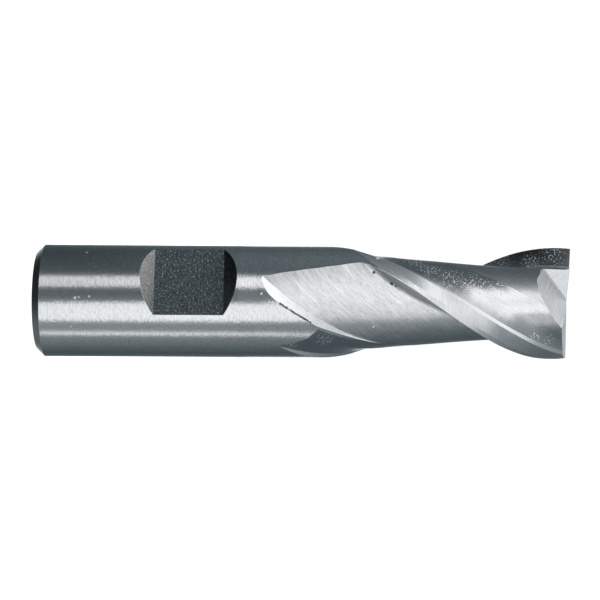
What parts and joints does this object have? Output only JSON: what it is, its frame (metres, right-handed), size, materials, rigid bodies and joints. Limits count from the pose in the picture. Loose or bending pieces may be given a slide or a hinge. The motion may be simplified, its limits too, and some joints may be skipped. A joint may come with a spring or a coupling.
{
  "type": "end mill",
  "caption": "Square-ended helical end mill with ground flutes, gashed end teeth and a round shank with a clamping flat, for milling slots and faces in a machine spindle.",
  "frame": {"origin": "centre of the shank's end face, which the tool stands on", "axes": "+Z along the tool's axis from the shank to the cutting end, and -Y out of the clamping flat"},
  "size_m": [0.019, 0.019, 0.0905],
  "materials": {
    "tool_steel": "ground and uncoated"
  },
  "bodies": {
    "root": {"end_mill": "tool_steel"}
  },
  "joints": []
}
